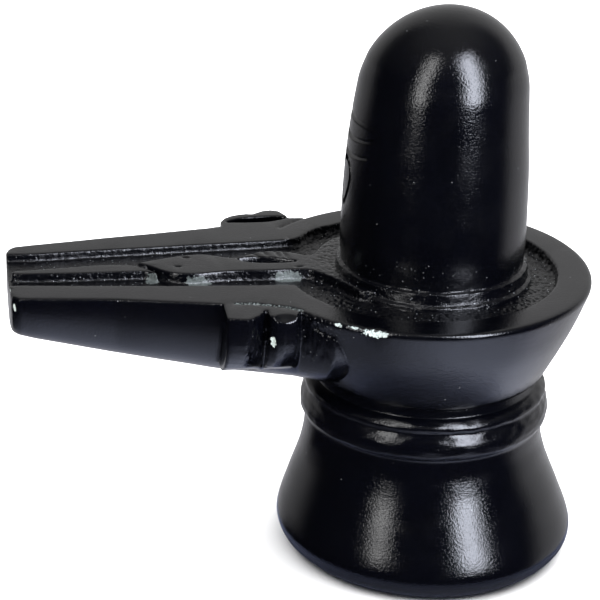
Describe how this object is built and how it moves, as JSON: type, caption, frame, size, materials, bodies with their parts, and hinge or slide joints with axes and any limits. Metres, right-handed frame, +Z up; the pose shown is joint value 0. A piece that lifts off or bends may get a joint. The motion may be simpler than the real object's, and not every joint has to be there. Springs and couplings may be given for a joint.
{
  "type": "shiva lingam stone",
  "caption": "Carved black stone lingam: a domed pillar in a round spouted dish with a serpent relief, on a flared bell foot.",
  "frame": {"origin": "on the ground under the pillar's axis, on the foot's flat underside", "axes": "+Z up along the pillar, -X out along the spout, +Y to the right of someone who looks from the pillar towards the spout's tip"},
  "size_m": [0.1526, 0.0902, 0.15],
  "materials": {
    "black_stone": "polished and oiled"
  },
  "bodies": {
    "root": {"shiva_lingam": "black_stone"}
  },
  "joints": []
}
